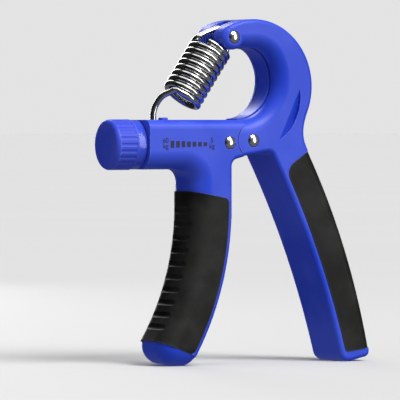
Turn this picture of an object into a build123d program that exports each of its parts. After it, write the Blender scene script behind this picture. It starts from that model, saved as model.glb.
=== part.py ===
from build123d import *
import os
from math import acos, atan2, cos, degrees, hypot, pi, radians, sin

# Hand grip strengthener with an adjustable extension spring, in millimetres.
# The frame stands on the ends of both handles: +Z up, X along the adjuster, Y through the thickness.
# Outlines are drawn on the side plane, whose origin is the pivot: first number along X, second along Z.

# ---------------------------------------------------------------- driving dimensions
BODY_DEPTH = 22.0                 # thickness of both mouldings
PIVOT_X = 2.9                     # pivot from the middle of the overall length
PIVOT_Z = 86.437                  # pivot above the ground

KNUCKLE_R = 6.8                   # round end of the palm handle's cheeks
SPLIT_GAP = 0.3                   # gap between the two mouldings at the knuckle
SPLIT_LOW, SPLIT_HIGH = 240.0, 122.0   # where the round end starts and stops, degrees

BARREL_TOP = 8.0                  # top of the adjuster barrel, above the pivot
BARREL_BOTTOM = -11.0
BARREL_MOUTH = -45.9              # open end of the barrel
BARREL_AXIS = -1.5                # height of the adjusting screw's axis
BARREL_ROUND = 7.0                # lower long edges of the barrel and finger side of the stem
BARREL_TOP_ROUND = 3.6            # upper long edges of the barrel

STEM_INNER = -9.2                 # inner face of the finger stem
STEM_WIDTH = 16.0
STEM_BEND_START = -25.5           # the stem is straight down to here
STEM_BEND_R = 112.0               # radius of its inner face
STEM_HEEL_TURN = 33.0             # degrees turned at the heel
STEM_TOE = (-46.6, -84.7)         # corner of the finger side and the end, before rounding
STEM_SADDLE_R = 5.0
STEM_STUB = -30.0                 # how far down the barrel's moulding runs before the toe and grip
SPINE_TOP = -20.0                 # the strip beside the finger grip starts here
CROTCH_Z = -7.6                   # top of the gap between the handles
CROTCH_R = 3.0                    # its rounding
TOE_ROUND = 7.2                   # finger side corner of the stem's end
TOE_FROM = 25.0                   # the solid toe starts this far round the bend, degrees
EDGE_ROUND = 1.6                  # small edges of both mouldings

BOW_CENTRE = (1.0, 21.0)
BOW_R = 25.9
BOW_LEAVE = -22.0                 # where the bow runs into the waist, degrees
FORK = (-8.6, 39.8)               # bow rivet
WINDOW_CENTRE = (-4.3, 23.4)
WINDOW_R = WINDOW_CENTRE[1] - BARREL_TOP
WINDOW_TURN = 35.0                # where the window's tighter corner begins, degrees
WINDOW_CORNER_R = 8.8
WINDOW_ROUND = 5.3                # rolled edge of the window
RIB_HALF = 4.1                    # central rib around the window
RIB_PROUD = 0.4
RIB_START = -14.8                 # where the rib starts on the barrel's top
RIB_EDGE = 0.8                    # the window's rib stops this far from the split
GROOVE_W = 1.1
GROOVE_DEPTH = 1.3
FORK_HALF_GAP = 3.2
FORK_CUT_R = 7.4
EAR_ROUND = 2.2
DISH_TOP = (20.8, 20.2)           # crescent recess beside the palm handle's shoulder
DISH_MID = (19.2, 8.5)
DISH_LOW = (11.4, 0.0)
DISH_DEPTH = 2.0

WAIST = (23.3, 1.0)
LEG_OUTER_TOP = (26.6, -6.6)
LEG_OUTER_MID = (41.6, -40.7)
LEG_OUTER_TOE = (53.6, -84.355)
LEG_INNER_TOE = (40.6, -87.155)
LEG_INNER_MID = (27.3, -45.4)
LEG_INNER_TOP = (8.2, -4.2)
LEG_TOE_ROUNDS = (2.4, 4.0)
LEG_CROTCH_R = 2.5

GRIP_WALL = 2.2                   # thickness of the soft grips
GRIP_PROUD = 0.5                  # how far they stand out on the hand side
GRIP_SIDE_PROUD = 0.3             # how far they stand out on the flat sides
FRONT_STRIP = 1.9                 # moulding left showing beside the finger grip
REAR_STRIP = 2.4
PALM_ROUND = 4.0
GRIP_TOP_IN = (STEM_INNER - FRONT_STRIP, -22.3)    # upper edge of the finger grip
GRIP_TOP_OUT = (STEM_INNER - STEM_WIDTH - 3.0, -19.0)
GRIP_END_TURN = 31.0              # its lower end, degrees round the stem's bend
GRIP_END_OUT = (-45.0, -75.0)
GRIP_CORNER_R = 2.2
REAR_GRIP_TOP = (25.4, -3.6)      # upper corner of the palm grip
REAR_GRIP_END = 0.045             # share of the leg left bare at its lower end
REAR_GRIP_SHOULDER = 0.9          # share of the leg where the grip's inner edge turns outwards
REAR_GRIP_RISE = 3.6              # its lower edge is this far above the toe on the palm side
REAR_GRIP_ROUNDS = (1.6, 5.0)     # its lower and shoulder corners
GRIP_GROOVES = 10                 # cross grooves on the finger side
GRIP_GROOVE_START = 0.8           # degrees round the stem's bend
GRIP_GROOVE_STEP = 3.1
GRIP_GROOVE_R = 1.8
GRIP_GROOVE_DEPTH = 0.6

RIVET_R = 1.6
RIVET_HEAD_R = 2.2
RIVET_RECESS_GAP = 0.3
RIVET_RECESS_DEPTH = 1.2
RIVET_PROUD = 0.7
LINK = (-10.5, -0.8)              # second rivet of the core plate
PLATE_T = 3.0
PLATE_EYE_R = 5.0
PLATE_HALF = 3.6
PLATE_END = -14.2
PLATE_SLOT_GAP = 0.4              # of the slot round the plate's eye
BUSH_R = 3.0
WASHER_T = 0.4
WASHER_R = PLATE_EYE_R - 0.4
DOME = 0.6                        # rise of a rivet's domed head above its rim
RUN_FIT = 0.05                    # radial clearance of running fits
FACE_GAP = 0.05                   # end play beside flat faces

BORE_R = 6.3
SCREW_R = 2.4
TRAVEL = 14.0                     # of the slider along the barrel
SLOT_HALF = 3.3
HOOK_PIN = (-35.7, 5.6)
HOOK_PIN_R = 1.4
HOOK_PIN_BORE = 0.4
SADDLE_LEFT, SADDLE_RIGHT = -40.6, -31.4
SADDLE_TOP = 7.6
SADDLE_HALF = SLOT_HALF - 0.2
SADDLE_CORNER_R = 0.8
BUMP_X = -34.0                    # raised mark on the saddle
BUMP_SIZE = (2.8, 3.4)
BUMP_TOP = 8.9
BUMP_ROUND = 0.5

BORE_END = -15.2
SLOT_LEFT, SLOT_RIGHT = -41.4, -16.8
SLOT_CORNER_R = 1.0
PRESS_FIT = 0.02                  # radial clearance of bushes pressed in the bore
THRUST_T = 3.0
BEARING_T = 1.9
CLIP_T = 0.8
CLIP_R = 4.2

KNOB_R = 9.7
RING_RIGHT = BARREL_MOUTH - 0.4
RING_LEFT = RING_RIGHT - 3.3
RING_R = 9.5
KNOB_END = RING_LEFT - 9.6
CAP_T = 1.7
CAP_ROUND = 1.6
CAP_RING = (2.5, 1.6)             # length and wall of the ring that locates the cap
KNOB_BORE_R = 6.0                 # recess under the cap
KNOB_RECESS = 5.0
HEAD_GAP = 2.0                    # from the cap to the adjusting screw
SCREW_HEAD = (1.6, 3.6, 0.5)      # thickness, radius and rounding of the knob's screw
FLUTES = 24
FLUTE_R = 1.7
FLUTE_DEPTH = 0.22
FLUTE_STOP = 0.9                  # plain band left beside the ring

WIRE_R = 1.2
COIL_R = 7.1                      # to the middle of the wire
COIL_PITCH = 2 * WIRE_R + 0.2
COIL_LENGTH = 23.0                # room for the coil between its two hooks
COIL_END = 0.78                   # part turn at the coil's top
COIL_FOOT = (-26.1, 16.3)         # middle of the lowest turn
COIL_TILT = 55.5                  # of the coil's axis above the barrel, degrees
COIL_TURNS = int(COIL_LENGTH / COIL_PITCH - COIL_END) + COIL_END
COIL_START = 125.0                # where the lower hook leaves the lowest turn, degrees
SLEEVE_R = 2.4
HOOK_FIT = 0.1                    # between the wire and the pin or sleeve it hangs on
HOOK_RISE = 4.2                   # straight part of the wire beyond the lowest turn
HOOK_CREST = 8.2                  # the wire turns down this far above the hook pin
HOOK_BENDS = (3.4, 4.6)
HOOK_FEET = (0.07, 0.57)          # turns past the coil's end where the upper hook's legs stand
HOOK_DROP = HOOK_PIN_R + WIRE_R + HOOK_FIT     # middle of the wire below the hook pin's axis
HOOK_X = HOOK_PIN[0] - HOOK_DROP  # where the wire drops into the slider
HOOK_WRAP = SLEEVE_R + WIRE_R + HOOK_FIT       # middle of the wire round the fork sleeve
WIRE_SLIT_HALF = WIRE_R + 0.2
SLIT_WIDE = 4.6                   # length of the slit that is open to the saddle's top
SLIT_WALL = 0.7
NUT_FLAT = HOOK_PIN[1] - HOOK_DROP - WIRE_R - 0.2  # flat that the saddle sits on, clear of the wire

# ---------------------------------------------------------------- frame and small helpers
SIDE = Plane(origin=(PIVOT_X, 0, PIVOT_Z), x_dir=(1, 0, 0), z_dir=(0, -1, 0))
HALF = BODY_DEPTH / 2
AXIS_POINT = (PIVOT_X, 0, PIVOT_Z + BARREL_AXIS)
SCREW_AXIS = Axis(AXIS_POINT, (1, 0, 0))
os.makedirs("parts", exist_ok=True)


def polar(centre, radius, angle):
    """Point on the side plane at a distance and angle from a centre."""
    return (centre[0] + radius * cos(radians(angle)), centre[1] + radius * sin(radians(angle)))


def space(point, depth=0.0):
    """Row-frame point from a side-plane point and a depth."""
    return Vector(PIVOT_X + point[0], depth, PIVOT_Z + point[1])


def side_at(depth):
    """Side plane moved so that its sketches lie at this Y."""
    return Plane(origin=(PIVOT_X, depth, PIVOT_Z), x_dir=(1, 0, 0), z_dir=(0, -1, 0))


def round_plane(point):
    """Plane for profiles revolved about a cross pin at a side-plane point."""
    return Plane(origin=space(point), x_dir=(1, 0, 0), z_dir=(0, 0, 1))


def save(builder, name):
    builder.part.label = name
    export_step(builder.part, f"parts/{name}.step")


def outline_edges(part, low, high, depth=HALF):
    """Edges of both flat sides whose middle lies in a box on the side plane."""
    found = ShapeList()
    for edge in part.edges():
        middle = edge @ 0.5
        along = (middle.X - PIVOT_X, middle.Z - PIVOT_Z)
        flat = abs(abs(middle.Y) - depth) < 0.01
        if flat and low[0] < along[0] < high[0] and low[1] < along[1] < high[1]:
            found.append(edge)
    return found


def arc_edges(part, centre, radius, depth=HALF):
    """Edges of both flat sides whose middle lies at a radius from a side-plane point."""
    found = ShapeList()
    for edge in part.edges():
        middle = edge @ 0.5
        away = hypot(middle.X - PIVOT_X - centre[0], middle.Z - PIVOT_Z - centre[1])
        if abs(abs(middle.Y) - depth) < 0.01 and abs(away - radius) < 0.02:
            found.append(edge)
    return found


# ---------------------------------------------------------------- shared outlines
STEM_CENTRE = (STEM_INNER - STEM_BEND_R, STEM_BEND_START)
STEM_OUTER_R = STEM_BEND_R - STEM_WIDTH
HEEL = polar(STEM_CENTRE, STEM_BEND_R, -STEM_HEEL_TURN)
TOE_TURN = degrees(atan2(STEM_CENTRE[1] - STEM_TOE[1], STEM_TOE[0] - STEM_CENTRE[0]))
FINGER_FACE = STEM_INNER - STEM_WIDTH
WINDOW_CORNER = polar(WINDOW_CENTRE, WINDOW_R - WINDOW_CORNER_R, WINDOW_TURN)
EAR_R = BOW_R - hypot(FORK[0] - BOW_CENTRE[0], FORK[1] - BOW_CENTRE[1])
FORK_ANGLE = degrees(atan2(FORK[1] - BOW_CENTRE[1], FORK[0] - BOW_CENTRE[0]))


def window_edges(grow):
    """Open outline of the window, from under the bow round to the fork."""
    corner_top = polar(WINDOW_CORNER, WINDOW_CORNER_R + grow, 90)
    CenterArc(WINDOW_CENTRE, WINDOW_R + grow, -90, 90 + WINDOW_TURN)
    CenterArc(WINDOW_CORNER, WINDOW_CORNER_R + grow, WINDOW_TURN, 90 - WINDOW_TURN)
    return corner_top


def window_region(grow, depth):
    """Block that fills the window, grown outwards, from one depth to its mirror image."""
    with BuildPart() as block:
        with BuildSketch(SIDE):
            with BuildLine():
                corner_top = window_edges(grow)
                left = FORK[0]
                bottom = polar(WINDOW_CENTRE, WINDOW_R + grow, -90)
                Polyline(corner_top, (left, corner_top[1]), (left, bottom[1]), bottom)
            make_face()
        extrude(amount=depth, both=True)
    return block.part


# ---------------------------------------------------------------- finger grip outline
GRIP_END_IN = polar(STEM_CENTRE, STEM_BEND_R - FRONT_STRIP, -GRIP_END_TURN)


def front_grip_region(depth):
    """Block over the soft part of the finger stem, open to the finger side."""
    with BuildPart() as block:
        with BuildSketch(SIDE) as sketch:
            with BuildLine():
                bend_start = (GRIP_TOP_IN[0], STEM_BEND_START)
                Polyline(GRIP_END_IN, GRIP_END_OUT, GRIP_TOP_OUT, GRIP_TOP_IN, bend_start)
                CenterArc(STEM_CENTRE, STEM_BEND_R - FRONT_STRIP, 0, -GRIP_END_TURN)
            make_face()
            inner = sketch.vertices().filter_by(lambda v: v.X > GRIP_END_IN[0] - 1)
            fillet([inner.sort_by(Axis.Y)[0], inner.sort_by(Axis.Y)[-1]], radius=GRIP_CORNER_R)
        extrude(amount=depth, both=True)
    return block.part


def stem_block(grow, depth, rounding):
    """Length of the finger stem, grown on its finger side only, with the finger side rounded."""
    outer_r = STEM_OUTER_R - grow
    with BuildPart() as block:
        with BuildSketch(SIDE):
            with BuildLine():
                top = BARREL_BOTTOM
                outer_start = (STEM_CENTRE[0] + outer_r, STEM_BEND_START)
                outer_end = polar(STEM_CENTRE, outer_r, -TOE_TURN)
                inner_end = polar(STEM_CENTRE, STEM_BEND_R, -STEM_HEEL_TURN)
                CenterArc(STEM_CENTRE, outer_r, -TOE_TURN, TOE_TURN)
                Polyline(outer_start, (outer_start[0], top), (STEM_INNER, top), (STEM_INNER, STEM_BEND_START))
                CenterArc(STEM_CENTRE, STEM_BEND_R, 0, -STEM_HEEL_TURN)
                Line(inner_end, outer_end)
            make_face()
        extrude(amount=depth, both=True)
        finger_side = outline_edges(block.part, (-60, -100), (FINGER_FACE + 1, 0), depth)
        fillet([edge for edge in finger_side if edge.length > 2 * rounding], radius=rounding)
    return block.part


# ---------------------------------------------------------------- front handle moulding
def split_edges(gap):
    """Knuckle line shared by both mouldings, from its low end to its top corner."""
    CenterArc((0, 0), KNUCKLE_R + gap, SPLIT_LOW, SPLIT_HIGH - SPLIT_LOW)
    turn = polar((0, 0), KNUCKLE_R + gap, SPLIT_HIGH)
    top = (WINDOW_CENTRE[0] - gap, BARREL_TOP)
    Line(turn, top)
    return top


with BuildPart() as barrel_block:
    with BuildSketch(SIDE) as sketch:
        with BuildLine():
            top = split_edges(SPLIT_GAP)
            low = polar((0, 0), KNUCKLE_R + SPLIT_GAP, SPLIT_LOW)
            Polyline(top, (BARREL_MOUTH, BARREL_TOP), (BARREL_MOUTH, BARREL_BOTTOM),
                     (FINGER_FACE, BARREL_BOTTOM), (FINGER_FACE, STEM_STUB), (STEM_INNER, STEM_STUB),
                     (STEM_INNER, CROTCH_Z), low)
        make_face()
        fillet(sketch.vertices().sort_by_distance((FINGER_FACE, BARREL_BOTTOM))[0], radius=STEM_SADDLE_R)
        fillet(sketch.vertices().sort_by_distance((STEM_INNER, CROTCH_Z))[0], radius=CROTCH_R)
    extrude(amount=HALF, both=True)
    above_stub = STEM_STUB + 0.1
    lower = outline_edges(barrel_block.part, (BARREL_MOUTH, above_stub), (FINGER_FACE + 2, BARREL_BOTTOM + 1))
    fillet(lower, radius=BARREL_ROUND)
    upper = outline_edges(barrel_block.part, (BARREL_MOUTH, BARREL_TOP - 0.1), (0, BARREL_TOP + 0.1))
    fillet(upper, radius=BARREL_TOP_ROUND)
    inner = outline_edges(barrel_block.part, (STEM_INNER - 0.1, above_stub), (low[0], low[1] - 0.2))
    fillet(inner, radius=EDGE_ROUND)

with BuildPart() as toe_block:
    with BuildSketch(SIDE) as sketch:
        with BuildLine():
            start = polar(STEM_CENTRE, STEM_OUTER_R, -TOE_FROM)
            inner_start = polar(STEM_CENTRE, STEM_BEND_R, -TOE_FROM)
            toe = polar(STEM_CENTRE, STEM_OUTER_R, -TOE_TURN)
            CenterArc(STEM_CENTRE, STEM_OUTER_R, -TOE_TURN, TOE_TURN - TOE_FROM)
            Line(start, inner_start)
            CenterArc(STEM_CENTRE, STEM_BEND_R, -TOE_FROM, TOE_FROM - STEM_HEEL_TURN)
            Line(HEEL, toe)
        make_face()
        fillet(sketch.vertices().sort_by_distance(toe)[0], radius=TOE_ROUND)
    extrude(amount=HALF, both=True)
    outer = outline_edges(toe_block.part, (-60, -100), (HEEL[0] - 2, inner_start[1] - 1))
    fillet(outer, radius=BARREL_ROUND)
    fillet(arc_edges(toe_block.part, STEM_CENTRE, STEM_BEND_R), radius=EDGE_ROUND)

with BuildPart() as spine_block:
    with BuildSketch(SIDE):
        with BuildLine():
            width = GRIP_WALL + FRONT_STRIP
            Polyline((STEM_INNER, STEM_BEND_START), (STEM_INNER, SPINE_TOP), (STEM_INNER - width, SPINE_TOP),
                     (STEM_INNER - width, STEM_BEND_START))
            CenterArc(STEM_CENTRE, STEM_BEND_R - width, 0, -GRIP_END_TURN)
            CenterArc(STEM_CENTRE, STEM_BEND_R, 0, -GRIP_END_TURN)
            Line(polar(STEM_CENTRE, STEM_BEND_R - width, -GRIP_END_TURN),
                 polar(STEM_CENTRE, STEM_BEND_R, -GRIP_END_TURN))
        make_face()
    extrude(amount=HALF, both=True)
    inner = arc_edges(spine_block.part, STEM_CENTRE, STEM_BEND_R)
    straight = outline_edges(spine_block.part, (STEM_INNER - 0.1, STEM_BEND_START), (0, SPINE_TOP + 1))
    fillet(inner + straight, radius=EDGE_ROUND)

grip_core = stem_block(-GRIP_WALL, HALF - GRIP_WALL, BARREL_ROUND - GRIP_WALL)

with BuildPart() as front_handle:
    add(barrel_block.part)
    add(toe_block.part)
    add(spine_block.part)
    add(front_grip_region(HALF + 2), mode=Mode.SUBTRACT)
    add(grip_core & front_grip_region(HALF + 2))
    # bore for the adjuster and the slot that the slider shows through
    with BuildSketch(Plane(origin=(PIVOT_X + BARREL_MOUTH, 0, PIVOT_Z + BARREL_AXIS), z_dir=(1, 0, 0))):
        Circle(BORE_R)
    extrude(amount=BORE_END - BARREL_MOUTH, mode=Mode.SUBTRACT)
    with BuildSketch(Plane.XY.offset(PIVOT_Z + BARREL_AXIS)):
        with Locations((PIVOT_X + (SLOT_LEFT + SLOT_RIGHT) / 2, 0)):
            RectangleRounded(SLOT_RIGHT - SLOT_LEFT, 2 * SLOT_HALF, SLOT_CORNER_R)
    extrude(amount=BARREL_TOP - BARREL_AXIS + 1, mode=Mode.SUBTRACT)
    # pocket for the steel plate and recesses for the link rivet
    with BuildSketch(SIDE):
        with Locations(((PLATE_END - RUN_FIT) / 2, LINK[1])):
            Rectangle(-PLATE_END + RUN_FIT, 2 * (PLATE_HALF + RUN_FIT))
    extrude(amount=PLATE_T / 2 + FACE_GAP, both=True, mode=Mode.SUBTRACT)
    with BuildSketch(SIDE):
        with Locations(LINK):
            Circle(RIVET_R + RUN_FIT)
    extrude(amount=HALF + 1, both=True, mode=Mode.SUBTRACT)
    for depth in (-HALF + RIVET_RECESS_DEPTH, HALF + 1):
        with BuildSketch(side_at(depth)):
            with Locations(LINK):
                Circle(RIVET_HEAD_R + RIVET_RECESS_GAP)
        extrude(amount=RIVET_RECESS_DEPTH + 1, mode=Mode.SUBTRACT)
    # grooves beside the central rib on the barrel's top, from near the slot to the knuckle
    for side in (-1, 1):
        with BuildSketch(Plane.XY.offset(PIVOT_Z + BARREL_TOP - GROOVE_DEPTH)):
            with Locations((PIVOT_X + RIB_START / 2, side * (RIB_HALF + GROOVE_W / 2))):
                Rectangle(-RIB_START, GROOVE_W)
        extrude(amount=GROOVE_DEPTH + 1, mode=Mode.SUBTRACT)
save(front_handle, "front_handle")

# ---------------------------------------------------------------- finger grip
grip_skin = stem_block(GRIP_PROUD, HALF + GRIP_SIDE_PROUD, BARREL_ROUND + GRIP_SIDE_PROUD)
with BuildPart() as front_grip:
    add(grip_skin & front_grip_region(HALF + 3))
    add(grip_core, mode=Mode.SUBTRACT)
    with BuildSketch(SIDE):
        for index in range(GRIP_GROOVES):
            groove_turn = GRIP_GROOVE_START + index * GRIP_GROOVE_STEP
            groove_out = STEM_OUTER_R - GRIP_PROUD - GRIP_GROOVE_R + GRIP_GROOVE_DEPTH
            with Locations(polar(STEM_CENTRE, groove_out, -groove_turn)):
                Circle(GRIP_GROOVE_R)
    extrude(amount=HALF + 1, both=True, mode=Mode.SUBTRACT)
save(front_grip, "front_grip")

# ---------------------------------------------------------------- rear handle moulding
with BuildPart() as rear_block:
    with BuildSketch(SIDE) as sketch:
        with BuildLine():
            top = split_edges(0)
            low = polar((0, 0), KNUCKLE_R, SPLIT_LOW)
            corner_top = window_edges(0)
            outer_start = polar(BOW_CENTRE, BOW_R, FORK_ANGLE)
            Polyline(corner_top, (FORK[0], corner_top[1]), FORK, outer_start)
            CenterArc(BOW_CENTRE, BOW_R, FORK_ANGLE, BOW_LEAVE - FORK_ANGLE)
            leave = polar(BOW_CENTRE, BOW_R, BOW_LEAVE)
            heading = (sin(radians(BOW_LEAVE)), -cos(radians(BOW_LEAVE)))
            leg_outer = ThreePointArc(LEG_OUTER_TOP, LEG_OUTER_MID, LEG_OUTER_TOE)
            Spline(leave, WAIST, LEG_OUTER_TOP, tangents=(heading, leg_outer % 0))
            Line(LEG_OUTER_TOE, LEG_INNER_TOE)
            ThreePointArc(LEG_INNER_TOE, LEG_INNER_MID, LEG_INNER_TOP)
            Line(LEG_INNER_TOP, low)
        make_face()
        for corner, radius in zip((LEG_OUTER_TOE, LEG_INNER_TOE), LEG_TOE_ROUNDS):
            fillet(sketch.vertices().sort_by_distance(corner)[0], radius=radius)
        fillet(sketch.vertices().sort_by_distance(LEG_INNER_TOP)[0], radius=LEG_CROTCH_R)
    extrude(amount=HALF, both=True)
    window_side = ShapeList()
    for edge in outline_edges(rear_block.part, (-9, 7), (14, 37)):
        middle = (edge @ 0.5) - space(WINDOW_CENTRE)
        if hypot(middle.X, middle.Z) < WINDOW_R + 1 and (edge @ 0.5).X > PIVOT_X + FORK[0] + 0.1:
            window_side.append(edge)
    fillet(window_side, radius=WINDOW_ROUND)
    outside = ShapeList()
    for edge in outline_edges(rear_block.part, (-9, -100), (80, 60)):
        middle = edge @ 0.5
        away = hypot(middle.X - PIVOT_X - BOW_CENTRE[0], middle.Z - PIVOT_Z - BOW_CENTRE[1])
        if away > BOW_R - 0.5 and hypot(middle.X - PIVOT_X, middle.Z - PIVOT_Z) > KNUCKLE_R + 0.1:
            outside.append(edge)
    fillet(outside, radius=EDGE_ROUND)

LEG_INNER_LINE = Edge.make_three_point_arc(LEG_INNER_TOE, LEG_INNER_MID, LEG_INNER_TOP)


def rear_grip_region(depth):
    """Block over the soft part of the palm leg, open to the palm side."""
    with BuildPart() as block:
        with BuildSketch(SIDE) as sketch:
            with BuildLine():
                strip = offset_point(LEG_INNER_LINE, REAR_GRIP_END, REAR_STRIP)
                middle = offset_point(LEG_INNER_LINE, 0.5, REAR_STRIP)
                shoulder = offset_point(LEG_INNER_LINE, REAR_GRIP_SHOULDER, REAR_STRIP)
                end_out = (LEG_OUTER_TOE[0] + 3, LEG_OUTER_TOE[1] + REAR_GRIP_RISE)
                outside = LEG_OUTER_TOE[0] + 6.4
                ThreePointArc(strip, middle, shoulder)
                above = REAR_GRIP_TOP[1] + 4
                Polyline(shoulder, REAR_GRIP_TOP, (outside, above), (outside, end_out[1]), end_out, strip)
            make_face()
            for corner, radius in zip((strip, shoulder), REAR_GRIP_ROUNDS):
                fillet(sketch.vertices().sort_by_distance(corner)[0], radius=radius)
        extrude(amount=depth, both=True)
    return block.part


def offset_point(edge, place, distance):
    """Point beside an edge of the side plane, to the right of its direction of travel."""
    at = edge @ place
    along = edge % place
    return (at.X + along.Y * distance, at.Y - along.X * distance)


def palm_block(grow, depth, rounding):
    """Palm side of the leg, grown outwards, with its outer long edges rounded."""
    with BuildPart() as block:
        with BuildSketch(SIDE):
            with BuildLine():
                outer = Edge.make_three_point_arc(LEG_OUTER_TOP, LEG_OUTER_MID, LEG_OUTER_TOE)
                top = offset_point(outer, 0, -grow)
                middle = offset_point(outer, 0.5, -grow)
                toe = offset_point(outer, 1, -grow)
                ThreePointArc(top, middle, toe)
                inner_top = (LEG_INNER_TOP[0] + 4, LEG_OUTER_TOP[1])
                Polyline(toe, LEG_INNER_TOE, inner_top, (top[0] - 4, top[1] + 8), top)
            make_face()
        extrude(amount=depth, both=True)
        long_edges = outline_edges(block.part, (30, -60), (60, -20), depth)
        fillet(long_edges.sort_by(lambda e: (e @ 0.5).X)[-2:], radius=rounding)
    return block.part


leg_core = palm_block(-GRIP_WALL, HALF - GRIP_WALL, PALM_ROUND - GRIP_WALL)
leg_skin = palm_block(GRIP_PROUD, HALF + GRIP_SIDE_PROUD, PALM_ROUND)


def dish_cutter():
    """Crescent recess on the flat side, deepest along its curved edge."""
    chord = Vector(DISH_LOW[0] - DISH_TOP[0], 0, DISH_LOW[1] - DISH_TOP[1]).normalized()
    middle = ((DISH_TOP[0] + DISH_LOW[0]) / 2, (DISH_TOP[1] + DISH_LOW[1]) / 2)
    reach = hypot(DISH_MID[0] - middle[0], DISH_MID[1] - middle[1])
    across = Vector(-chord.Z, 0, chord.X)
    across = across if across.X > 0 else -across
    floor_dir = (across * reach + Vector(0, DISH_DEPTH, 0)).normalized()
    floor_plane = Plane(origin=space(DISH_TOP, -HALF), x_dir=chord, z_dir=chord.cross(floor_dir))
    with BuildPart() as cutter:
        with BuildSketch(side_at(-HALF + DISH_DEPTH + 1)):
            with BuildLine():
                ThreePointArc(DISH_TOP, DISH_MID, DISH_LOW)
                Line(DISH_LOW, DISH_TOP)
            make_face()
        extrude(amount=DISH_DEPTH + 2)
        keep = Keep.TOP if floor_plane.z_dir.Y < 0 else Keep.BOTTOM
        split(bisect_by=floor_plane, keep=keep)
    return cutter.part


band = window_region(GROOVE_DEPTH, RIB_HALF + GROOVE_W)
rib = window_region(GROOVE_DEPTH + 1, RIB_HALF) - window_region(-RIB_PROUD, RIB_HALF + 1)
with BuildPart() as window_limit:
    with BuildSketch(SIDE):
        with Locations((FORK[0], BARREL_TOP + 10), (WINDOW_CENTRE[0] + RIB_EDGE, BARREL_TOP - 3)):
            Rectangle(2 * BOW_R, 2 * BOW_R, align=(Align.MIN, Align.MIN))
    extrude(amount=HALF, both=True)

SLOT_TOP = PLATE_HALF + 0.6       # the slot clears the plate's upper edge and the squeezed plate's lower edge
SLOT_END = -KNUCKLE_R - 2.2
with BuildPart() as ear:
    with BuildSketch(SIDE):
        with Locations(FORK):
            Circle(EAR_R)
    extrude(amount=HALF, both=True)
    fillet(arc_edges(ear.part, FORK, EAR_R), radius=EAR_ROUND)

with BuildPart() as rear_handle:
    add(rear_block.part)
    add(ear.part)
    # groove and central rib around the window
    add(band & window_limit.part, mode=Mode.SUBTRACT)
    add(rib & window_limit.part)
    # fork between the ears
    with BuildSketch(SIDE):
        with Locations(FORK):
            Circle(FORK_CUT_R)
    extrude(amount=FORK_HALF_GAP, both=True, mode=Mode.SUBTRACT)
    # slot between the cheeks for the plate's eye and neck
    with BuildSketch(SIDE):
        Circle(PLATE_EYE_R + PLATE_SLOT_GAP)
        with BuildLine():
            Polyline((0, SLOT_TOP), (SLOT_END, SLOT_TOP), (SLOT_END, SLOT_END), (SLOT_END / 3, SLOT_END),
                     (0, -PLATE_EYE_R), close=True)
        make_face()
    extrude(amount=PLATE_T / 2 + WASHER_T + 2 * FACE_GAP, both=True, mode=Mode.SUBTRACT)
    # rivet holes and their recesses
    for centre in ((0, 0), FORK):
        with BuildSketch(SIDE):
            with Locations(centre):
                Circle(RIVET_R + RUN_FIT)
        extrude(amount=HALF + 1, both=True, mode=Mode.SUBTRACT)
        for depth in (-HALF + RIVET_RECESS_DEPTH, HALF + 1):
            with BuildSketch(side_at(depth)):
                with Locations(centre):
                    Circle(RIVET_HEAD_R + RIVET_RECESS_GAP)
            extrude(amount=RIVET_RECESS_DEPTH + 1, mode=Mode.SUBTRACT)
    # seat for the palm grip
    add(rear_grip_region(HALF + 2), mode=Mode.SUBTRACT)
    add(leg_core & rear_grip_region(HALF + 2))
    dish = dish_cutter()
    add(dish, mode=Mode.SUBTRACT)
    add(dish.mirror(Plane.XZ), mode=Mode.SUBTRACT)
save(rear_handle, "rear_handle")

with BuildPart() as rear_grip:
    add(leg_skin & rear_grip_region(HALF + 3))
    add(leg_core, mode=Mode.SUBTRACT)
save(rear_grip, "rear_grip")


# ---------------------------------------------------------------- rivets and pivot
def rivet(centre):
    """Round rivet through both sides, with domed heads."""
    with BuildPart() as pin:
        with BuildSketch(round_plane(centre)):
            with BuildLine():
                seat = HALF - RIVET_RECESS_DEPTH
                tip = HALF + RIVET_PROUD
                rim = tip - DOME
                crown = (RIVET_HEAD_R * 0.62, tip - 0.17)
                Polyline((0, -tip), (0, tip))
                for sign in (1, -1):
                    edge = (RIVET_HEAD_R, sign * rim)
                    ThreePointArc((0, sign * tip), (crown[0], sign * crown[1]), edge)
                    Polyline(edge, (RIVET_HEAD_R, sign * seat), (RIVET_R, sign * seat))
                Line((RIVET_R, seat), (RIVET_R, -seat))
            make_face()
        revolve(axis=Axis(space(centre), (0, 1, 0)))
    return pin


def ring(centre, outer, inner, half_length):
    """Bush or washer about a cross pin, centred on the middle plane."""
    with BuildPart() as bush:
        with BuildSketch(SIDE):
            with Locations(centre):
                Circle(outer)
                Circle(inner, mode=Mode.SUBTRACT)
        extrude(amount=half_length, both=True)
    return bush


save(rivet((0, 0)), "pivot_rivet")
save(rivet(LINK), "link_rivet")
save(rivet(FORK), "bow_rivet")
save(ring((0, 0), BUSH_R, RIVET_R + RUN_FIT, PLATE_T / 2), "pivot_bush")
save(ring(FORK, SLEEVE_R, RIVET_R + RUN_FIT, FORK_HALF_GAP - FACE_GAP), "fork_sleeve")

with BuildPart() as pivot_washers:
    low = PLATE_T / 2 + FACE_GAP
    for start in (-low, low + WASHER_T):
        with BuildSketch(side_at(start)):
            Circle(WASHER_R)
            Circle(RIVET_R + RUN_FIT, mode=Mode.SUBTRACT)
        extrude(amount=WASHER_T)
save(pivot_washers, "pivot_washers")

with BuildPart() as front_core_plate:
    with BuildSketch(SIDE):
        Circle(PLATE_EYE_R)
        with Locations((PLATE_END / 2, LINK[1])):
            Rectangle(-PLATE_END, 2 * PLATE_HALF)
        Circle(BUSH_R + RUN_FIT, mode=Mode.SUBTRACT)
        with Locations(LINK):
            Circle(RIVET_R + RUN_FIT, mode=Mode.SUBTRACT)
    extrude(amount=PLATE_T / 2, both=True)
save(front_core_plate, "front_core_plate")


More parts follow.
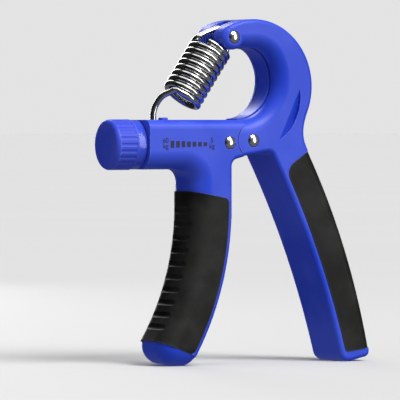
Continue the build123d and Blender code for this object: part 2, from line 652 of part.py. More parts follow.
# ---------------------------------------------------------------- adjuster
def barrel_ring(left, right, outer, inner):
    """Ring about the adjusting screw between two places along X."""
    with BuildPart() as turned:
        with BuildSketch(Plane(origin=(PIVOT_X + left, 0, PIVOT_Z + BARREL_AXIS), z_dir=(1, 0, 0))):
            Circle(outer)
            if inner > 0:
                Circle(inner, mode=Mode.SUBTRACT)
        extrude(amount=right - left)
    return turned


CAP_RIGHT = KNOB_END + CAP_T
SCREW_LEFT = CAP_RIGHT + HEAD_GAP
THRUST_RIGHT = BARREL_MOUTH + THRUST_T
CLIP_LEFT = THRUST_RIGHT + 2 * FACE_GAP
save(barrel_ring(SCREW_LEFT, BORE_END - FACE_GAP, SCREW_R, 0), "adjusting_screw")
save(barrel_ring(BARREL_MOUTH, THRUST_RIGHT, BORE_R - PRESS_FIT, SCREW_R + RUN_FIT), "thrust_bush")
save(barrel_ring(CLIP_LEFT, CLIP_LEFT + CLIP_T, CLIP_R, SCREW_R), "retaining_clip")
save(barrel_ring(BORE_END - BEARING_T, BORE_END, BORE_R - PRESS_FIT, SCREW_R + RUN_FIT), "end_bearing")

with BuildPart() as slider_nut:
    add(barrel_ring(SADDLE_LEFT, SADDLE_RIGHT, BORE_R - RUN_FIT, SCREW_R + RUN_FIT).part)
    with BuildSketch(Plane.XY.offset(PIVOT_Z + NUT_FLAT)):
        with Locations((PIVOT_X + (SADDLE_LEFT + SADDLE_RIGHT) / 2, 0)):
            Rectangle(SADDLE_RIGHT - SADDLE_LEFT + 2, 4 * BORE_R)
    extrude(amount=2 * BORE_R, mode=Mode.SUBTRACT)
save(slider_nut, "slider_nut")

with BuildPart() as slider_saddle:
    with BuildSketch(Plane.XY.offset(PIVOT_Z + NUT_FLAT)):
        with Locations((PIVOT_X + (SADDLE_LEFT + SADDLE_RIGHT) / 2, 0)):
            RectangleRounded(SADDLE_RIGHT - SADDLE_LEFT, 2 * SADDLE_HALF, SADDLE_CORNER_R)
    extrude(amount=SADDLE_TOP - NUT_FLAT)
    with BuildSketch(Plane.XY.offset(PIVOT_Z + SADDLE_TOP)):
        with Locations((PIVOT_X + BUMP_X, 0)):
            RectangleRounded(*BUMP_SIZE, BUMP_ROUND + 0.1)
    extrude(amount=BUMP_TOP - SADDLE_TOP)
    fillet(slider_saddle.faces().sort_by(Axis.Z)[-1].edges(), radius=BUMP_ROUND)
    slit_left = HOOK_X - WIRE_SLIT_HALF
    slit_right = SADDLE_RIGHT - SLIT_WALL
    with BuildSketch(Plane.XY.offset(PIVOT_Z + NUT_FLAT)):
        with Locations((PIVOT_X + (slit_left + slit_right) / 2, 0)):
            Rectangle(slit_right - slit_left, 2 * WIRE_SLIT_HALF)
    extrude(amount=HOOK_PIN[1] + HOOK_PIN_R - NUT_FLAT, mode=Mode.SUBTRACT)
    with BuildSketch(Plane.XY.offset(PIVOT_Z + NUT_FLAT)):
        with Locations((PIVOT_X + slit_left + SLIT_WIDE / 2, 0)):
            Rectangle(SLIT_WIDE, 2 * WIRE_SLIT_HALF)
    extrude(amount=BUMP_TOP, mode=Mode.SUBTRACT)
    with BuildSketch(SIDE):
        with Locations(HOOK_PIN):
            Circle(HOOK_PIN_R + RUN_FIT)
    extrude(amount=HALF, both=True, mode=Mode.SUBTRACT)
save(slider_saddle, "slider_saddle")
save(ring(HOOK_PIN, HOOK_PIN_R, HOOK_PIN_BORE, SADDLE_HALF - 2 * FACE_GAP), "hook_pin")

# ---------------------------------------------------------------- knob
with BuildPart() as knob:
    add(barrel_ring(CAP_RIGHT, RING_LEFT, KNOB_R, SCREW_R).part)
    add(barrel_ring(CAP_RIGHT, CAP_RIGHT + KNOB_RECESS, KNOB_BORE_R, 0).part, mode=Mode.SUBTRACT)
    with BuildSketch(Plane(origin=(PIVOT_X + CAP_RIGHT, 0, PIVOT_Z + BARREL_AXIS), z_dir=(1, 0, 0))):
        with PolarLocations(KNOB_R + FLUTE_R - FLUTE_DEPTH, FLUTES):
            Circle(FLUTE_R)
    extrude(amount=RING_LEFT - CAP_RIGHT - FLUTE_STOP, mode=Mode.SUBTRACT)
save(knob, "knob")

with BuildPart() as knob_cap:
    add(barrel_ring(KNOB_END, CAP_RIGHT, KNOB_R, 0).part)
    fillet(knob_cap.edges().sort_by(Axis.X)[0], radius=CAP_ROUND)
    length, wall = CAP_RING
    add(barrel_ring(CAP_RIGHT, CAP_RIGHT + length, KNOB_BORE_R - RUN_FIT, KNOB_BORE_R - wall).part)
save(knob_cap, "knob_cap")
save(barrel_ring(RING_LEFT, RING_RIGHT, RING_R, SCREW_R), "knob_ring")

with BuildPart() as knob_screw:
    thick, radius, rounding = SCREW_HEAD
    add(barrel_ring(SCREW_LEFT - thick, SCREW_LEFT, radius, 0).part)
    fillet(knob_screw.edges().sort_by(Axis.X)[0], radius=rounding)
save(knob_screw, "knob_screw")

# ---------------------------------------------------------------- spring
tilt = radians(COIL_TILT)
COIL_DIR = Vector(cos(tilt), 0, sin(tilt))
COIL_RIGHT = Vector(sin(tilt), 0, -cos(tilt))
COIL_FRONT = Vector(0, -1, 0)
COIL_AT = space(COIL_FOOT)


def coil_point(turns):
    """Middle of the wire after this many turns up from the lower hook."""
    angle = radians(COIL_START - 360 * turns)
    out = COIL_RIGHT * (COIL_R * cos(angle)) + COIL_FRONT * (COIL_R * sin(angle))
    return COIL_AT + COIL_DIR * (COIL_PITCH * turns) + out


def coil_heading(turns):
    """Direction of the wire, going up the coil."""
    angle = radians(COIL_START - 360 * turns)
    turn = COIL_RIGHT * sin(angle) - COIL_FRONT * cos(angle)
    return (turn * (2 * pi * COIL_R) + COIL_DIR * COIL_PITCH).normalized()


coil_plane = Plane(origin=COIL_AT, x_dir=coil_point(0) - COIL_AT, z_dir=COIL_DIR)
helix = coil_plane.location * Edge.make_helix(COIL_PITCH, COIL_PITCH * COIL_TURNS, COIL_R)

start = coil_point(0)
rise = start - coil_heading(0) * HOOK_RISE
crest = space((HOOK_X, HOOK_PIN[1] + HOOK_CREST))
hook_low = HOOK_PIN[1] - HOOK_DROP
hook_tail = space(polar(HOOK_PIN, HOOK_DROP, -30))

with BuildPart() as extension_spring:
    with BuildLine() as coil_path:
        add(helix)
    with BuildSketch(Plane(origin=helix @ 0, z_dir=helix % 0)):
        Circle(WIRE_R)
    sweep(path=coil_path.wires()[0], is_frenet=True)
    with BuildLine() as hook_path:
        low_left = space((HOOK_X, HOOK_PIN[1]))
        FilletPolyline(start, rise, crest, low_left, radius=HOOK_BENDS)
        bottom = space((HOOK_PIN[0], hook_low))
        ThreePointArc(low_left, space(polar(HOOK_PIN, HOOK_DROP, 225)), bottom)
        ThreePointArc(bottom, space(polar(HOOK_PIN, HOOK_DROP, 300)), hook_tail)
    with BuildSketch(Plane(origin=start, z_dir=coil_heading(0))):
        Circle(WIRE_R)
    sweep(path=hook_path.wires()[0])
save(extension_spring, "extension_spring")


def tangent_angle(point, side):
    """Angle on the wrap circle where a line from a point touches it."""
    away = hypot(point[0] - FORK[0], point[1] - FORK[1])
    base = degrees(atan2(point[1] - FORK[1], point[0] - FORK[0]))
    return base + side * degrees(acos(HOOK_WRAP / away))


def hook_foot(turns):
    """Side-plane point where a leg of the upper hook meets the coil."""
    foot = coil_point(COIL_TURNS + turns) - space((0, 0))
    return (foot.X, foot.Z)


left_foot, right_foot = hook_foot(HOOK_FEET[0]), hook_foot(HOOK_FEET[1])
with BuildPart() as upper_hook:
    with BuildLine(SIDE) as path:
        left_touch = polar(FORK, HOOK_WRAP, tangent_angle(left_foot, -1))
        right_touch = polar(FORK, HOOK_WRAP, tangent_angle(right_foot, 1))
        Line(left_foot, left_touch)
        ThreePointArc(left_touch, polar(FORK, HOOK_WRAP, 80), right_touch)
        Line(right_touch, right_foot)
    with BuildSketch(Plane(origin=path.wires()[0] @ 0, z_dir=path.wires()[0] % 0)):
        Circle(WIRE_R)
    sweep(path=path.wires()[0])
save(upper_hook, "upper_hook")
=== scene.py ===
from math import acos, atan2, cos, degrees, hypot, pi, radians, sin

import bpy
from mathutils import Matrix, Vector


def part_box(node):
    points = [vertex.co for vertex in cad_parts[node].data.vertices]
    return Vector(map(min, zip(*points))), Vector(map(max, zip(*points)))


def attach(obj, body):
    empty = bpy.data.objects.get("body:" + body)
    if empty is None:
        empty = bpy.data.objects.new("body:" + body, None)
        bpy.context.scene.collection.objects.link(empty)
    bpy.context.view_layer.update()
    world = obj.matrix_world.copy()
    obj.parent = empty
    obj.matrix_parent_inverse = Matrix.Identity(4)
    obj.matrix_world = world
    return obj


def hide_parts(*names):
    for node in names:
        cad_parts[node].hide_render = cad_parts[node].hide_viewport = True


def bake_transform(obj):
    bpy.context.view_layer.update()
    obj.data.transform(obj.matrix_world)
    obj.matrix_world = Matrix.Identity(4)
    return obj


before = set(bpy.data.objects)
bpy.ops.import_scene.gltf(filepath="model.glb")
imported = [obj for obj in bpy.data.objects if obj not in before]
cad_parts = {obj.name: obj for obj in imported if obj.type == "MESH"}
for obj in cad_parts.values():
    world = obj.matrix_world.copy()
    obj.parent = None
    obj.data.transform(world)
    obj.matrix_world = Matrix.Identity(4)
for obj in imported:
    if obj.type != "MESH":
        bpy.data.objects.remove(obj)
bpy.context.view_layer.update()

# ---------------------------------------------------------------- sizes, in metres
MM = 0.001
WIRE_R = 1.2 * MM                      # spring wire
COIL_R = 7.1 * MM                      # to the middle of the wire
COIL_PITCH = 2.6 * MM
COIL_TURNS = 8.78
COIL_START = 125.0                     # degrees, where the lower hook leaves the coil
COIL_TILT = 55.5                       # degrees above the barrel
COIL_FOOT = (-26.1 * MM, 16.3 * MM)    # from the pivot, along X and Z
HOOK_DROP = 2.7 * MM                   # middle of the wire from the hook pin's axis
WRAP_R = 3.7 * MM                      # middle of the wire from the bow rivet's axis
MARK_T = 0.03 * MM                     # printed marks stand this far off the moulding


def middle(node):
    """Middle of a CAD node's box."""
    low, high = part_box(node)
    return (low + high) / 2


PIVOT = middle("pivot_rivet")
FORK = middle("bow_rivet")
PIN = middle("hook_pin")
KNOB_AXIS = middle("knob")
FRONT_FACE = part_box("front_handle")[0].y


def beside_pivot(x, z, y=0.0):
    """Point from its distances to the pivot along X and Z."""
    return Vector((PIVOT.x + x, y, PIVOT.z + z))


# ---------------------------------------------------------------- shader maths
class Signal:
    """Shader socket that takes part in plain arithmetic."""

    def __init__(self, finish, socket):
        self.finish = finish
        self.socket = socket

    def maths(self, operation, left, right=0.0):
        return self.finish.node("ShaderNodeMath", {"operation": operation}, {0: left, 1: right})

    def __add__(self, other):
        return self.maths("ADD", self, other)

    def __sub__(self, other):
        return self.maths("SUBTRACT", self, other)

    def __rsub__(self, other):
        return self.maths("SUBTRACT", other, self)

    def __mul__(self, other):
        return self.maths("MULTIPLY", self, other)

    def __truediv__(self, other):
        return self.maths("DIVIDE", self, other)

    def __pow__(self, other):
        return self.maths("POWER", self, other)

    def __abs__(self):
        return self.maths("ABSOLUTE", self)

    __radd__ = __add__
    __rmul__ = __mul__

    def eased(self, low, high):
        """0 below low, 1 above high and a smooth step between them."""
        return self.finish.node(
            "ShaderNodeMapRange", {"interpolation_type": "SMOOTHSTEP"},
            {"Value": self, "From Min": low, "From Max": high}
        )


class Finish:
    """Material in the making, with one surface shader."""

    def __init__(self, name):
        self.material = bpy.data.materials.new(name)
        self.material.use_nodes = True
        self.tree = self.material.node_tree
        self.tree.nodes.clear()
        self.output = self.tree.nodes.new("ShaderNodeOutputMaterial")
        self.place = self.node("ShaderNodeTexCoord", {}, {}, "Object")

    def node(self, kind, settings, inputs, output=0):
        """Adds a node, sets it up, links or fills its sockets and returns one of its outputs."""
        made = self.tree.nodes.new(kind)
        for name, value in settings.items():
            setattr(made, name, value)
        for name, value in inputs.items():
            if isinstance(value, Signal):
                self.tree.links.new(value.socket, made.inputs[name])
            else:
                made.inputs[name].default_value = value
        return Signal(self, made.outputs[output])

    def noise(self, scale, detail=3.0, roughness=0.5, place=None):
        """Cloudy pattern from 0 to 1; scale is in features per metre."""
        return self.node(
            "ShaderNodeTexNoise", {}, {"Vector": place or self.place, "Scale": scale, "Detail": detail,
                                       "Roughness": roughness}
        )

    def stretched(self, scale):
        """Object coordinates scaled differently along each axis."""
        return self.node("ShaderNodeMapping", {}, {"Vector": self.place, "Scale": scale})

    def along(self, axis):
        """One object coordinate."""
        return self.node("ShaderNodeSeparateXYZ", {}, {0: self.place}, axis)

    def blend(self, mask, low, high):
        """Colour that goes from low to high as the mask goes from 0 to 1."""
        made = self.tree.nodes.new("ShaderNodeMix")
        made.data_type = "RGBA"
        self.tree.links.new(mask.socket, made.inputs["Factor"])
        for socket, colour in (("A_Color", low), ("B_Color", high)):
            target = next(s for s in made.inputs if s.identifier == socket)
            if isinstance(colour, Signal):
                self.tree.links.new(colour.socket, target)
            else:
                target.default_value = (*colour, 1.0)
        return Signal(self, next(s for s in made.outputs if s.identifier == "Result_Color"))

    def edges(self, radius, reach=0.12):
        """1 along outer edges and corners, 0 on flat stretches."""
        rounded = self.node("ShaderNodeBevel", {"samples": 6}, {"Radius": radius})
        true_normal = self.node("ShaderNodeNewGeometry", {}, {}, "Normal")
        dot = {"operation": "DOT_PRODUCT"}
        likeness = self.node("ShaderNodeVectorMath", dot, {0: rounded, 1: true_normal}, "Value")
        return (1 - likeness).eased(0.004, reach)

    def relief(self, height, depth, strength=1.0, under=None):
        """Bumped normal from a height of 0 to 1, in metres."""
        inputs = {"Height": height, "Distance": depth, "Strength": strength}
        if under:
            inputs["Normal"] = under
        return self.node("ShaderNodeBump", {}, inputs)

    def finished(self, **inputs):
        """Surface shader with these sockets; underscores stand for the spaces in their names."""
        named = {name.replace("_", " "): value for name, value in inputs.items()}
        surface = self.node("ShaderNodeBsdfPrincipled", {}, named, "BSDF")
        self.tree.links.new(surface.socket, self.output.inputs["Surface"])
        return self.material


def lighter(colour, share):
    return tuple(c + (1 - c) * share for c in colour)


def darker(colour, share):
    return tuple(c * (1 - share) for c in colour)


# ---------------------------------------------------------------- finishes
def moulded_plastic(name, colour, roughness, coat=0.0):
    """Satin injection moulding: fine grain, faint flow, a parting line and rubbed edges."""
    f = Finish(name)
    flow = f.noise(38.0, 2.0)
    grain = f.noise(5200.0, 2.0, 0.6)
    specks = f.noise(1500.0, 3.0)
    hairlines = f.noise(1.0, 4.0, 0.7, f.stretched((260.0, 260.0, 3200.0)))
    worn = f.edges(0.7 * MM) * specks.eased(0.35, 0.75)
    tone = f.blend(flow.eased(0.3, 0.7), darker(colour, 0.10), lighter(colour, 0.025))
    tone = f.blend(worn * 0.45, tone, lighter(colour, 0.3))
    marks = specks * 0.07 + hairlines.eased(0.62, 0.75) * 0.06
    sheen = flow * 0.08 + marks + worn * 0.12 + (roughness - 0.08)
    parting = 1 - abs(f.along("Y")).eased(0.03 * MM, 0.16 * MM)
    normal = f.relief(parting, 0.03 * MM, 0.6)
    normal = f.relief(grain, 0.012 * MM, 0.5, normal)
    return f.finished(Base_Color=tone, Roughness=sheen, Normal=normal, IOR=1.33, Coat_Weight=coat,
                      Coat_Roughness=0.08)


def grip_rubber(name, colour):
    """Matt thermoplastic rubber: pebbled skin, paler where it is handled, dusty in the grooves."""
    f = Finish(name)
    pebbles = f.node("ShaderNodeTexVoronoi", {"feature": "SMOOTH_F1"}, {"Vector": f.place, "Scale": 2600.0})
    cloud = f.noise(70.0, 4.0)
    dust = f.noise(2400.0, 3.0, 0.7)
    rubbed = f.edges(1.0 * MM, 0.25)
    tone = f.blend(cloud.eased(0.35, 0.7), darker(colour, 0.22), lighter(colour, 0.012))
    tone = f.blend(rubbed * 0.5, tone, lighter(colour, 0.05))
    tone = f.blend(dust.eased(0.66, 0.8) * 0.25, tone, lighter(colour, 0.14))
    sheen = cloud * 0.12 + dust * 0.10 - rubbed * 0.08 + 0.46
    normal = f.relief(pebbles, 0.035 * MM, 0.45)
    normal = f.relief(dust, 0.01 * MM, 0.4, normal)
    return f.finished(Base_Color=tone, Roughness=sheen, Normal=normal, IOR=1.32)


def drawn_steel(name, colour, roughness):
    """Polished spring wire: mirror bright, a patchy oil film, and painted shade that darkens the gaps between
    the turns.
    """
    f = Finish(name)
    film = f.noise(420.0, 3.0)
    draw = f.noise(3600.0, 2.0, 0.6)
    # Painted shade: ambient occlusion darkens the wire's base colour in the gaps between the turns.
    painted_gap_shade = 1 - f.node("ShaderNodeAmbientOcclusion", {"samples": 6}, {"Distance": 1.2 * MM}, "AO")
    tone = f.blend(film.eased(0.35, 0.75), colour, darker(colour, 0.16))
    tone = f.blend(painted_gap_shade.eased(0.35, 0.95) * 0.6, tone, darker(colour, 0.75))
    sheen = film * 0.05 + draw * 0.05 + (roughness - 0.03)
    normal = f.relief(draw, 0.003 * MM, 0.15)
    return f.finished(Base_Color=tone, Metallic=1.0, Roughness=sheen, Normal=normal)


def turned_metal(name, colour, centre, axis, roughness, ring_depth):
    """Metal with fine turning rings about an axis and small handling marks."""
    f = Finish(name)
    away = f.node("ShaderNodeVectorMath", {"operation": "SUBTRACT"}, {0: f.place, 1: tuple(centre)}, "Vector")
    across = tuple(1 - a for a in axis)
    spread = f.node("ShaderNodeVectorMath", {"operation": "MULTIPLY"}, {0: away, 1: across}, "Vector")
    radius = f.node("ShaderNodeVectorMath", {"operation": "LENGTH"}, {0: spread}, "Value")
    rings = f.node("ShaderNodeMath", {"operation": "SINE"}, {0: radius * (2 * pi / (0.16 * MM))}) * 0.5 + 0.5
    marks = f.noise(1300.0, 4.0, 0.65)
    worn = f.edges(0.3 * MM)
    tone = f.blend(marks.eased(0.4, 0.75), colour, darker(colour, 0.18))
    tone = f.blend(worn * 0.5, tone, lighter(colour, 0.4))
    sheen = marks * 0.10 + rings * 0.03 + (roughness - 0.05)
    normal = f.relief(rings, ring_depth, 0.5)
    normal = f.relief(marks, 0.006 * MM, 0.3, normal)
    return f.finished(Base_Color=tone, Metallic=1.0, Roughness=sheen, Normal=normal)


def pale_nylon(name, colour):
    """Slightly waxy bearing plastic with tool marks."""
    f = Finish(name)
    marks = f.noise(1800.0, 3.0)
    cloud = f.noise(200.0, 2.0)
    tone = f.blend(cloud.eased(0.3, 0.7), colour, darker(colour, 0.15))
    normal = f.relief(marks, 0.01 * MM, 0.4)
    return f.finished(Base_Color=tone, Roughness=marks * 0.2 + 0.35, Normal=normal, Subsurface_Weight=0.05,
                      Subsurface_Scale=0.4 * MM)


def printed_ink(name, colour):
    """Pad-printed ink, thin in places."""
    f = Finish(name)
    cover = f.noise(3800.0, 3.0)
    tone = f.blend(cover.eased(0.55, 0.85) * 0.5, colour, lighter(colour, 0.02))
    return f.finished(Base_Color=tone, Roughness=cover * 0.15 + 0.4, Normal=f.relief(cover, 0.004 * MM, 0.3))


def studio_paper(name, colour):
    """Seamless paper for the floor and backdrop."""
    f = Finish(name)
    fibre = f.noise(900.0, 3.0)
    cloud = f.noise(3.0, 2.0)
    tone = f.blend(cloud.eased(0.2, 0.8), darker(colour, 0.02), colour)
    return f.finished(Base_Color=tone, Roughness=fibre * 0.1 + 0.75, Normal=f.relief(fibre, 0.02 * MM, 0.2))


BLUE = (0.014, 0.056, 0.64)
KNOB_BLUE = (0.018, 0.050, 0.60)
RUBBER = (0.006, 0.006, 0.005)
BRIGHT = (0.86, 0.86, 0.86)
WIRE = (0.70, 0.70, 0.69)
PLATED = (0.55, 0.56, 0.58)
BRASS = (0.71, 0.53, 0.23)
NYLON = (0.78, 0.78, 0.74)
NAVY = (0.0005, 0.001, 0.045)

CROSS = (0, 1, 0)                      # axis of the cross pins
LENGTH = (1, 0, 0)                     # axis of the adjusting screw


def dress_cad_nodes():
    """Gives each CAD node its finish."""
    blue = moulded_plastic("blue_moulding", BLUE, 0.36)
    knob_blue = moulded_plastic("knob_moulding", KNOB_BLUE, 0.46)
    ring_blue = moulded_plastic("ring_moulding", BLUE, 0.20, 0.6)
    rubber = grip_rubber("grip_rubber", RUBBER)
    nylon = pale_nylon("bearing_nylon", NYLON)
    plated_screw = turned_metal("plated_screw", PLATED, KNOB_AXIS, LENGTH, 0.3, 0.012 * MM)
    finishes = {
        "front_handle": blue, "rear_handle": blue, "slider_saddle": blue,
        "knob": knob_blue, "knob_cap": knob_blue, "knob_ring": ring_blue,
        "front_grip": rubber, "rear_grip": rubber,
        "pivot_washers": nylon, "thrust_bush": nylon, "end_bearing": nylon,
        "adjusting_screw": plated_screw, "retaining_clip": plated_screw, "knob_screw": plated_screw,
        "slider_nut": turned_metal("turned_brass", BRASS, KNOB_AXIS, LENGTH, 0.28, 0.01 * MM),
        "front_core_plate": turned_metal("pressed_plate", PLATED, PIVOT, CROSS, 0.38, 0.004 * MM),
        "pivot_bush": turned_metal("bush_brass", BRASS, PIVOT, CROSS, 0.28, 0.01 * MM),
        "fork_sleeve": turned_metal("fork_sleeve", PLATED, FORK, CROSS, 0.25, 0.006 * MM),
        "hook_pin": turned_metal("hook_pin", PLATED, PIN, CROSS, 0.25, 0.006 * MM),
        "extension_spring": drawn_steel("spring_wire_core", WIRE, 0.14),
        "upper_hook": drawn_steel("spring_hook_core", WIRE, 0.14),
    }
    for rivet in ("pivot_rivet", "link_rivet", "bow_rivet"):
        finishes[rivet] = turned_metal(f"{rivet}_steel", BRIGHT, middle(rivet), CROSS, 0.16, 0.003 * MM)
    for name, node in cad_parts.items():
        node.data.materials.clear()
        node.data.materials.append(finishes[name])


# ---------------------------------------------------------------- spring wire
TILT = radians(COIL_TILT)
COIL_DIR = Vector((cos(TILT), 0, sin(TILT)))
COIL_RIGHT = Vector((sin(TILT), 0, -cos(TILT)))
COIL_FRONT = Vector((0, -1, 0))
COIL_AT = beside_pivot(*COIL_FOOT)
RINGS_PER_TURN = 40


def coil_point(angle, rise):
    """Middle of the wire at an angle in degrees round the coil and a rise in pitches."""
    out = COIL_RIGHT * cos(radians(angle)) + COIL_FRONT * sin(radians(angle))
    return COIL_AT + COIL_DIR * (COIL_PITCH * rise) + out * COIL_R


def up_the_coil(turns):
    """Middle of the wire this many turns above the lower hook."""
    return coil_point(COIL_START - 360 * turns, turns)


def around(centre, radius, angle):
    """Point round a cross pin, at an angle in degrees from +X towards +Z."""
    return Vector((centre.x + radius * cos(radians(angle)), 0, centre.z + radius * sin(radians(angle))))


def smooth_path(points, steps=10):
    """Points of a smooth line through the given ones."""
    ends = [points[0] * 2 - points[1], *points, points[-1] * 2 - points[-2]]
    path = []
    for before, here, there, after in zip(ends, ends[1:], ends[2:], ends[3:]):
        for step in range(steps):
            t = step / steps
            path.append(
                (here * 2 + (there - before) * t + (before * 2 - here * 5 + there * 4 - after) * t**2
                 + (here * 3 - before - there * 3 + after) * t**3) / 2
            )
    return path + [points[-1]]


def wire(name, path, finish):
    """Round wire along a path, as a closed mesh whose rings follow it."""
    bpy.ops.object.select_all(action="DESELECT")
    bpy.ops.curve.primitive_bezier_curve_add()
    made = bpy.context.object
    made.name = name
    line = made.data
    line.splines.clear()
    line.dimensions = "3D"
    line.twist_mode = "MINIMUM"
    line.bevel_depth = WIRE_R
    line.bevel_resolution = 6
    line.use_fill_caps = True
    spline = line.splines.new("POLY")
    spline.points.add(len(path) - 1)
    for point, at in zip(spline.points, path):
        point.co = (*at, 1.0)
    bpy.ops.object.convert(target="MESH")
    bpy.ops.object.shade_smooth_by_angle(angle=radians(50))
    made.data.materials.clear()
    made.data.materials.append(finish)
    return made


def weigh_rings(piece, path, weights):
    """Finds the nearest ring of the path for each vertex of a wire; nothing is assigned to it."""
    for vertex in piece.data.vertices:
        nearest = min(range(len(path)), key=lambda i: (path[i] - vertex.co).length_squared)


def coil_path():
    count = round(COIL_TURNS * RINGS_PER_TURN)
    return [up_the_coil(COIL_TURNS * i / count) for i in range(count + 1)]


def lower_hook_points():
    """From the coil's foot over to the slider and round the hook pin."""
    start = up_the_coil(0)
    heading = (up_the_coil(0.01) - up_the_coil(-0.01)).normalized()
    left = PIN.x - HOOK_DROP
    swing = [
        start, start - heading * 2.1 * MM,
        Vector((left + 6.0 * MM, -3.5 * MM, PIN.z + 13.2 * MM)),
        Vector((left + 3.4 * MM, -1.5 * MM, PIN.z + 11.6 * MM)),
        Vector((left + 1.4 * MM, -0.4 * MM, PIN.z + 8.8 * MM)),
        Vector((left + 0.2 * MM, 0, PIN.z + 5.6 * MM)),
        Vector((left, 0, PIN.z + 2.6 * MM)),
        Vector((left, 0, PIN.z)),
    ]
    return swing + [around(PIN, HOOK_DROP, angle) for angle in (205, 230, 255, 280, 305, 330)]


def touch_angle(point, side):
    """Angle on the wrap round the fork sleeve where a straight leg from a point touches it."""
    away = point - FORK
    return degrees(atan2(away.z, away.x)) + side * degrees(acos(WRAP_R / hypot(away.x, away.z)))


def upper_hook_points():
    """From the coil's top up one side of the fork sleeve, down the other and along the top turn."""
    left_foot, right_foot = coil_point(180, 9.3), coil_point(0, 9.3)
    left_touch, right_touch = touch_angle(left_foot, -1), touch_angle(right_foot, 1)
    wrap = [around(FORK, WRAP_R, left_touch + (right_touch - left_touch) * i / 8) for i in range(9)]
    rising = [up_the_coil(COIL_TURNS - 0.1), up_the_coil(COIL_TURNS - 0.05), up_the_coil(COIL_TURNS)]
    rising.append(coil_point(COIL_START - 360 * (COIL_TURNS + 0.06), COIL_TURNS + 0.25))
    tail = [coil_point(angle, 9.02) for angle in range(28, 134, 8)]
    legs = [left_foot.lerp(wrap[0], 0.35), *wrap]
    falling = [right_foot.lerp(wrap[-1], 0.3), coil_point(6, 9.2)]
    return rising, legs, falling, tail


def make_spring():
    """Coil and both hooks as wire meshes; only the upper hook rides a body, spring_end."""
    steel = drawn_steel("spring_wire", WIRE, 0.13)
    path = coil_path()
    coil = wire("spring_coil", path, steel)
    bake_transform(coil)
    weigh_rings(coil, path, [i / (len(path) - 1) for i in range(len(path))])
    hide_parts("extension_spring")

    path = smooth_path(lower_hook_points())
    hook = wire("spring_lower_hook", path, steel)
    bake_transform(hook)
    held = path.index(min(path, key=lambda p: abs(p.z - PIN.z - 1.0 * MM) + abs(p.x - PIN.x + HOOK_DROP)))
    weigh_rings(hook, path, [max(0.0, 1 - i / held) for i in range(len(path))])

    rising, legs, falling, tail = upper_hook_points()
    top = wire("spring_upper_hook", smooth_path([*rising, *legs, *falling, *tail], 6), steel)
    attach(top, "spring_end")
    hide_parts("upper_hook")


# ---------------------------------------------------------------- printed scale
MARKS = 7
MARK_FIRST, MARK_LAST = -36.1 * MM, -21.6 * MM     # middles of the outer bars, from the pivot
MARK_W = 1.6 * MM
MARK_TALL, MARK_SHORT = 2.7 * MM, 1.5 * MM
MARK_MID = -1.35 * MM
LABEL_H = 2.6 * MM
LABEL_BOLD = 0.04 * MM                 # added to the lettering's strokes
MARK_ROUND = 0.008 * MM                # corners of the bars


def printed(piece, ink):
    """Finishes a printed piece: its place goes into its mesh and it moves with the front handle."""
    piece.data.materials.clear()
    piece.data.materials.append(ink)
    bpy.ops.object.transform_apply(location=True, rotation=True, scale=True)
    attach(piece, "front_handle")


def bar(index, ink):
    """One bar of the scale, with softened corners."""
    share = index / (MARKS - 1)
    height = MARK_TALL + (MARK_SHORT - MARK_TALL) * share
    at = beside_pivot(MARK_FIRST + (MARK_LAST - MARK_FIRST) * share, MARK_MID, FRONT_FACE - MARK_T / 2)
    bpy.ops.object.select_all(action="DESELECT")
    bpy.ops.mesh.primitive_cube_add(size=1, location=at, scale=(MARK_W, MARK_T, height))
    made = bpy.context.object
    made.name = f"scale_bar_{index + 1}"
    bpy.ops.object.transform_apply(location=False, rotation=False, scale=True)
    bpy.ops.object.mode_set(mode="EDIT")
    bpy.ops.mesh.select_all(action="SELECT")
    bpy.ops.mesh.bevel(offset=MARK_ROUND, segments=2)
    bpy.ops.object.mode_set(mode="OBJECT")
    printed(made, ink)


def label(name, text, x, z, ink):
    """Short generic lettering on the front face."""
    bpy.ops.object.select_all(action="DESELECT")
    bpy.ops.object.text_add(location=beside_pivot(x, z, FRONT_FACE - MARK_T), rotation=(pi / 2, 0, 0))
    made = bpy.context.object
    made.name = name
    made.data.body = text
    made.data.size = LABEL_H
    made.data.align_x = "CENTER"
    made.data.extrude = MARK_T / 2
    made.data.offset = LABEL_BOLD
    bpy.ops.object.convert(target="MESH")
    printed(made, ink)


def print_scale():
    ink = printed_ink("scale_ink", NAVY)
    for index in range(MARKS):
        bar(index, ink)
    for side, number, x in (("heavy", "60", -39.05 * MM), ("light", "5", -18.7 * MM)):
        label(f"label_{side}_number", number, x, -0.75 * MM, ink)
        label(f"label_{side}_unit", "kg", x, -2.9 * MM, ink)


# ---------------------------------------------------------------- studio
AZIMUTH, ELEVATION = -30.0, 1.0
LENS = 400.0
VIEW_WIDTH = 155.2 * MM
AIM = (-15.25 * MM, -23.1 * MM)        # middle of the view from the pivot, to the right and up
FLOOR_SIZE = 60.0
WORLD_DIFFUSE = 0.42                   # light all round, as matt surfaces see it
WORLD_GLOSSY = 0.13                    # as reflections see it
BACKDROP = 0.77                        # as the camera sees it
# Each sun: name, degrees round from the camera, degrees up, strength, softness in degrees.
SUNS = (
    ("key_sun", 48, 48, 3.1, 34),
    ("top_sun", -20, 78, 0.7, 50),
)
# Each softbox: name, degrees round, degrees up, distance, watts, width, height.
SOFTBOXES = (
    ("left_strip", -162, 25, 0.8, 3.0, 0.25, 0.8),
    ("right_strip", 62, 12, 0.9, 2.5, 0.20, 0.8),
)
# Each flag, a dark card that only reflections see: name, degrees round, degrees up, distance, width, height.
FLAGS = (
    ("left_flag", -52, 14, 0.6, 0.80, 1.0),
    ("far_left_flag", -112, 14, 0.6, 0.80, 1.0),
    ("front_flag", 4, 6, 0.7, 0.30, 0.5),
)


def camera_side(target, turn, up, distance):
    """Place at an angle round from the camera's side of the target."""
    a, e = radians(AZIMUTH + turn), radians(up)
    return target + Vector((sin(a) * cos(e), -cos(a) * cos(e), sin(e))) * distance


def facing(place, target):
    return (target - place).to_track_quat("-Z", "Y").to_euler()


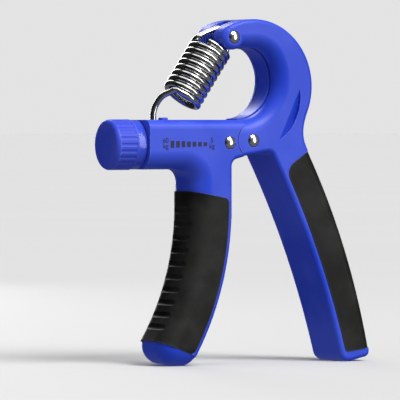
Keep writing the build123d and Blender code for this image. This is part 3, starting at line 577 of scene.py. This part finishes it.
def make_camera():
    a = radians(AZIMUTH)
    right = Vector((cos(a), sin(a), 0))
    back = camera_side(Vector(), 0, ELEVATION, 1.0)
    target = PIVOT + right * AIM[0] + back.cross(right) * AIM[1]
    bpy.ops.object.camera_add()
    camera = bpy.context.object
    camera.data.lens = LENS
    camera.location = target + back * (VIEW_WIDTH * LENS / camera.data.sensor_width)
    camera.rotation_euler = facing(camera.location, target)
    bpy.context.scene.camera = camera
    return target


def soft_sun(target, name, turn, up, strength, softness):
    """Even light from one side, the same over the whole floor."""
    place = camera_side(target, turn, up, 1.0)
    bpy.ops.object.light_add(type="SUN", location=place, rotation=facing(place, target))
    lamp = bpy.context.object
    lamp.name = name
    lamp.data.angle = radians(softness)
    lamp.data.energy = strength


def softbox(target, name, turn, up, distance, power, width, height):
    """Strip light that the metal and the glossy edges mirror."""
    place = camera_side(target, turn, up, distance)
    bpy.ops.object.light_add(type="AREA", location=place, rotation=facing(place, target))
    lamp = bpy.context.object
    lamp.name = name
    lamp.data.shape = "RECTANGLE"
    lamp.data.size, lamp.data.size_y = width, height
    lamp.data.energy = power
    lamp.visible_diffuse = False


def flag(target, name, turn, up, distance, width, height):
    """Black card for the metal to mirror; it throws no shadow and no camera sees it."""
    place = camera_side(target, turn, up, distance)
    bpy.ops.object.select_all(action="DESELECT")
    bpy.ops.mesh.primitive_plane_add(size=1, location=place, rotation=facing(place, target))
    card = bpy.context.object
    card.name = name
    card.scale = (width, height, 1)
    card.visible_camera = False
    card.visible_diffuse = False
    card.visible_shadow = False
    cloth = Finish(f"{name}_cloth")
    weave = cloth.noise(600.0)
    tone = cloth.blend(weave, (0.004,) * 3, (0.012,) * 3)
    card.data.materials.append(cloth.finished(Base_Color=tone, Roughness=0.9))


def make_floor():
    """Pale floor that catches shadows but throws no light back at the object."""
    bpy.ops.object.select_all(action="DESELECT")
    bpy.ops.mesh.primitive_plane_add(size=FLOOR_SIZE)
    floor = bpy.context.object
    floor.name = "studio_floor"
    floor.visible_diffuse = False
    floor.visible_glossy = False
    floor.data.materials.append(studio_paper("seamless_paper", (0.60, 0.60, 0.60)))


def make_world():
    """Soft grey light all round, dimmer in reflections and seen by the camera as a paler backdrop."""
    world = bpy.data.worlds.new("studio_light")
    bpy.context.scene.world = world
    world.use_nodes = True
    tree = world.node_tree
    ray = tree.nodes.new("ShaderNodeLightPath")

    def glow(strength):
        light = tree.nodes.new("ShaderNodeBackground")
        light.inputs["Color"].default_value = (1.0, 1.0, 1.0, 1.0)
        light.inputs["Strength"].default_value = strength
        return light.outputs["Background"]

    shown = glow(WORLD_DIFFUSE)
    for kind, strength in (("Is Glossy Ray", WORLD_GLOSSY), ("Is Camera Ray", BACKDROP)):
        either = tree.nodes.new("ShaderNodeMixShader")
        tree.links.new(ray.outputs[kind], either.inputs["Fac"])
        tree.links.new(shown, either.inputs[1])
        tree.links.new(glow(strength), either.inputs[2])
        shown = either.outputs["Shader"]
    tree.nodes.remove(tree.nodes["Background"])
    tree.links.new(shown, tree.nodes["World Output"].inputs["Surface"])


def make_studio():
    target = make_camera()
    make_world()
    make_floor()
    for sun in SUNS:
        soft_sun(target, *sun)
    for box in SOFTBOXES:
        softbox(target, *box)
    for card in FLAGS:
        flag(target, *card)
    bpy.context.scene.view_settings.view_transform = "Standard"


dress_cad_nodes()
make_spring()
print_scale()
make_studio()
